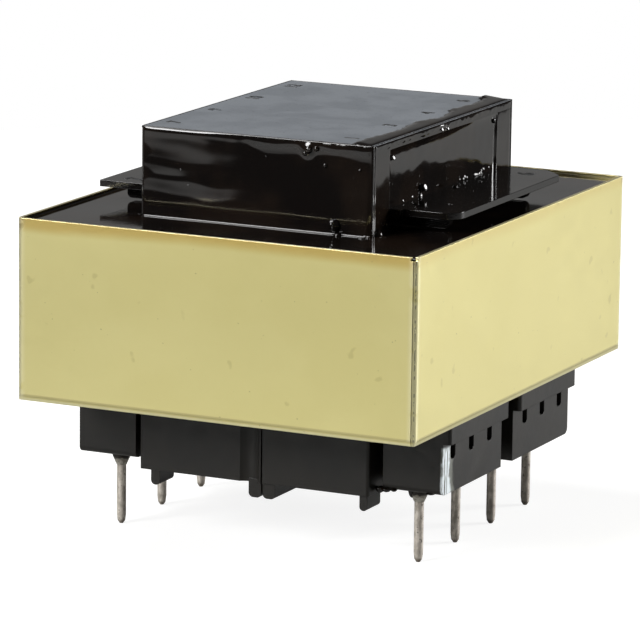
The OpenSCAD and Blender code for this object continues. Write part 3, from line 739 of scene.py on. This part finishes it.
def pin_numbers(finish):
    """Each pin's own number on the cover, in line with it, and two of them on the shelves too."""
    on_cover, on_shelf = 1.9 * MM, 2.6 * MM     # heights of the figures
    face = COVER_HIGH.z + 0.005 * MM
    primary_column = COVER_HIGH.x - 3.65 * MM
    secondary_column = 1.85 * MM - COVER_HIGH.x
    for name, (x, y, _) in sorted(PINS.items()):
        number = name.split("_")[1]
        column = primary_column if x > 0 else secondary_column
        mark("number_" + number, number, on_cover, column, y, face, finish)
    mark("shelf_number_6", "6", on_shelf, CORE_HIGH.x - 4.45 * MM, 11.4 * MM, SHELF_TOP, finish)
    mark("shelf_number_7", "7", on_shelf, 4.25 * MM - CORE_HIGH.x, -9.6 * MM, SHELF_TOP, finish)


# ---------------------------------------------------------------- studio
SHOWN = 0.08     # share of the white backdrop that metal and varnish mirror; the camera sees all of it
WHITE = (1, 1, 1, 1)

# The room: which way the wall and the card stand, and how bright they and the rest of it are
WALL_WAY, WALL_LEVEL = (-0.55, 0.83, 0.0), 0.14
CARD_WAY, CARD_LEVEL = (-0.43, -0.9, 0.0), 0.90
DIM_LEVEL = 0.04

# The soft lamps: name, place, width and power. All of them point at one place in the part.
LAMPS = (("softbox_left", (-0.50, -0.92, 0.60), 0.46, 15.5),
         ("softbox_right", (0.70, 0.58, 0.28), 0.36, 10.8),
         ("softbox_top", (-0.38, 0.0, 0.80), 0.45, 5.5))
LIT_PLACE = Vector((0, 0, 0.015))


def white_share(tree, *masks):
    """How much of the white a ray meets: all of it from the camera, a share off gloss or glass."""
    rays = node(tree, "LightPath").node.outputs
    mirrored = node(tree, "Math", (rays["Is Glossy Ray"], rays["Is Transmission Ray"]), operation="ADD")
    for mask in masks:
        mirrored = node(tree, "Math", (mirrored, mask), operation="MULTIPLY")
    return node(tree, "Math", (mirrored, SHOWN, rays["Is Camera Ray"]), operation="MULTIPLY_ADD",
                use_clamp=True)


def room(scene):
    """A dim room with a pale wall low down behind the part, and a bright card at its front left,
    lower still. The camera sees plain white, and gloss a share of that where the wall stands."""
    world = bpy.data.worlds.new("room")
    scene.world = world
    world.use_nodes = True
    tree = world.node_tree
    tree.nodes.clear()
    towards = node(tree, "TexCoord", out="Generated")
    height = node(tree, "SeparateXYZ", (towards,), "Z")
    behind = node(tree, "VectorMath", (towards, WALL_WAY), "Value", operation="DOT_PRODUCT")
    ahead = node(tree, "VectorMath", (towards, CARD_WAY), "Value", operation="DOT_PRODUCT")
    low = node(tree, "MapRange", (height, 0.30, 0.22), interpolation_type="SMOOTHSTEP")
    wall = within(tree, behind, 1.0, NO_LIMIT, 0.55, low)
    card = within(tree, ahead, 0.9, NO_LIMIT, 0.1, within(tree, height, -0.4, -0.18, 0.03))
    level = node(tree, "Math", (wall, WALL_LEVEL, DIM_LEVEL), operation="MULTIPLY_ADD")
    level = node(tree, "Math", (card, CARD_LEVEL, level), operation="MULTIPLY_ADD")
    walls = node(tree, "Background", {"Color": (1.0, 0.985, 0.96, 1), "Strength": level})
    backdrop = node(tree, "Background", {"Color": WHITE, "Strength": 1.0})
    mixed = node(tree, "MixShader", (white_share(tree, wall), walls, backdrop))
    node(tree, "OutputWorld", (mixed,)).is_active_output = True


def lamps(scene):
    """Three square soft lamps: two beside the part and a weaker one over it."""
    for name, place, width, power in LAMPS:
        lamp = bpy.data.lights.new(name, "AREA")
        lamp.shape = "SQUARE"
        lamp.size = width
        lamp.energy = power
        lit = bpy.data.objects.new(name, lamp)
        lit.location = place
        lit.rotation_euler = (LIT_PLACE - Vector(place)).to_track_quat("-Z", "Y").to_euler()
        scene.collection.objects.link(lit)


def turntable(scene):
    """The white disc that the part stands on: white to the camera apart from the part's own
    shadow, and clear from below."""
    floor = CAD_BOX[0].z
    middle, radius, sides, glow = (0.02, 0.04), 0.21, 96, 0.84
    angles = [2 * math.pi * i / sides for i in range(sides)]
    rim = [(middle[0] + radius * math.cos(a), middle[1] + radius * math.sin(a), floor) for a in angles]
    mesh = bpy.data.meshes.new("turntable")
    mesh.from_pydata(rim, [], [list(range(sides))])
    table = bpy.data.objects.new("turntable", mesh)
    scene.collection.objects.link(table)
    finish, tree, shader, _ = material("white_laminate", Roughness=0.6)
    shader.inputs["Base Color"].default_value = colour("#8e8e8c")
    white = node(tree, "Emission", {"Color": WHITE, "Strength": glow})
    lifted = node(tree, "AddShader", (shader.outputs[0], white))
    mixed = node(tree, "MixShader", (white_share(tree), shader.outputs[0], lifted))
    under = node(tree, "NewGeometry").node.outputs["Backfacing"]
    mixed = node(tree, "MixShader", (under, mixed, node(tree, "BsdfTransparent")))
    tree.links.new(mixed, tree.nodes["Material Output"].inputs["Surface"])
    mesh.materials.append(finish)


def studio():
    """Plain soft light round a white turntable."""
    scene = bpy.context.scene
    scene.view_settings.view_transform = "Standard"
    room(scene)
    lamps(scene)
    turntable(scene)


def camera():
    """A long lens, a little above the part and to the right of its front."""
    azimuth, elevation, tilt = (math.radians(a) for a in (25.5004, 11.6731, 0.7247))
    place = (190.72 * MM, -401.54 * MM, 105.8 * MM)
    made = bpy.data.cameras.new("camera")
    made.lens = 268.2
    made.sensor_width = 36.0
    made.clip_end = 20
    eye = bpy.data.objects.new("camera", made)
    bpy.context.scene.collection.objects.link(eye)
    turn = (Matrix.Rotation(azimuth, 4, "Z") @ Matrix.Rotation(math.pi / 2 - elevation, 4, "X")
            @ Matrix.Rotation(tilt, 4, "Z"))
    eye.matrix_world = Matrix.Translation(place) @ turn
    bpy.context.scene.camera = eye


# ---------------------------------------------------------------- the part
def dress():
    """Gives every solid of the frame its finish: tin for the pins, and these for the rest."""
    nylon, tin, copper = dipped_nylon(), dull_tin(), enamelled_copper()
    film, steel = polyester_film(), silicon_steel()
    finishes = {
        "flux_band": yellow_passivated_steel(), "upper_shroud": moulded_cover(),
        "lower_shroud_primary": nylon, "lower_shroud_secondary": nylon, "bobbin": nylon,
        "e_laminations": steel, "i_laminations": steel,
        "primary_winding": copper, "secondary_winding": copper,
        "primary_leads": copper, "secondary_leads": copper,
        "primary_wrap": film, "secondary_wrap": film,
        "solder_fillets": soft_solder(),
    }
    for name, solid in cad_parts.items():
        solid.data.materials.clear()
        solid.data.materials.append(finishes.get(name, tin))


dress()
varnish = baking_varnish()
varnish_pool(varnish)
side_skins(varnish)
end_skins(varnish)
top_rim(varnish)
varnish_rim(varnish)
varnish_drops(varnish)
varnish_on_pin(varnish)
pin_numbers(moulded_mark())
studio()
camera()
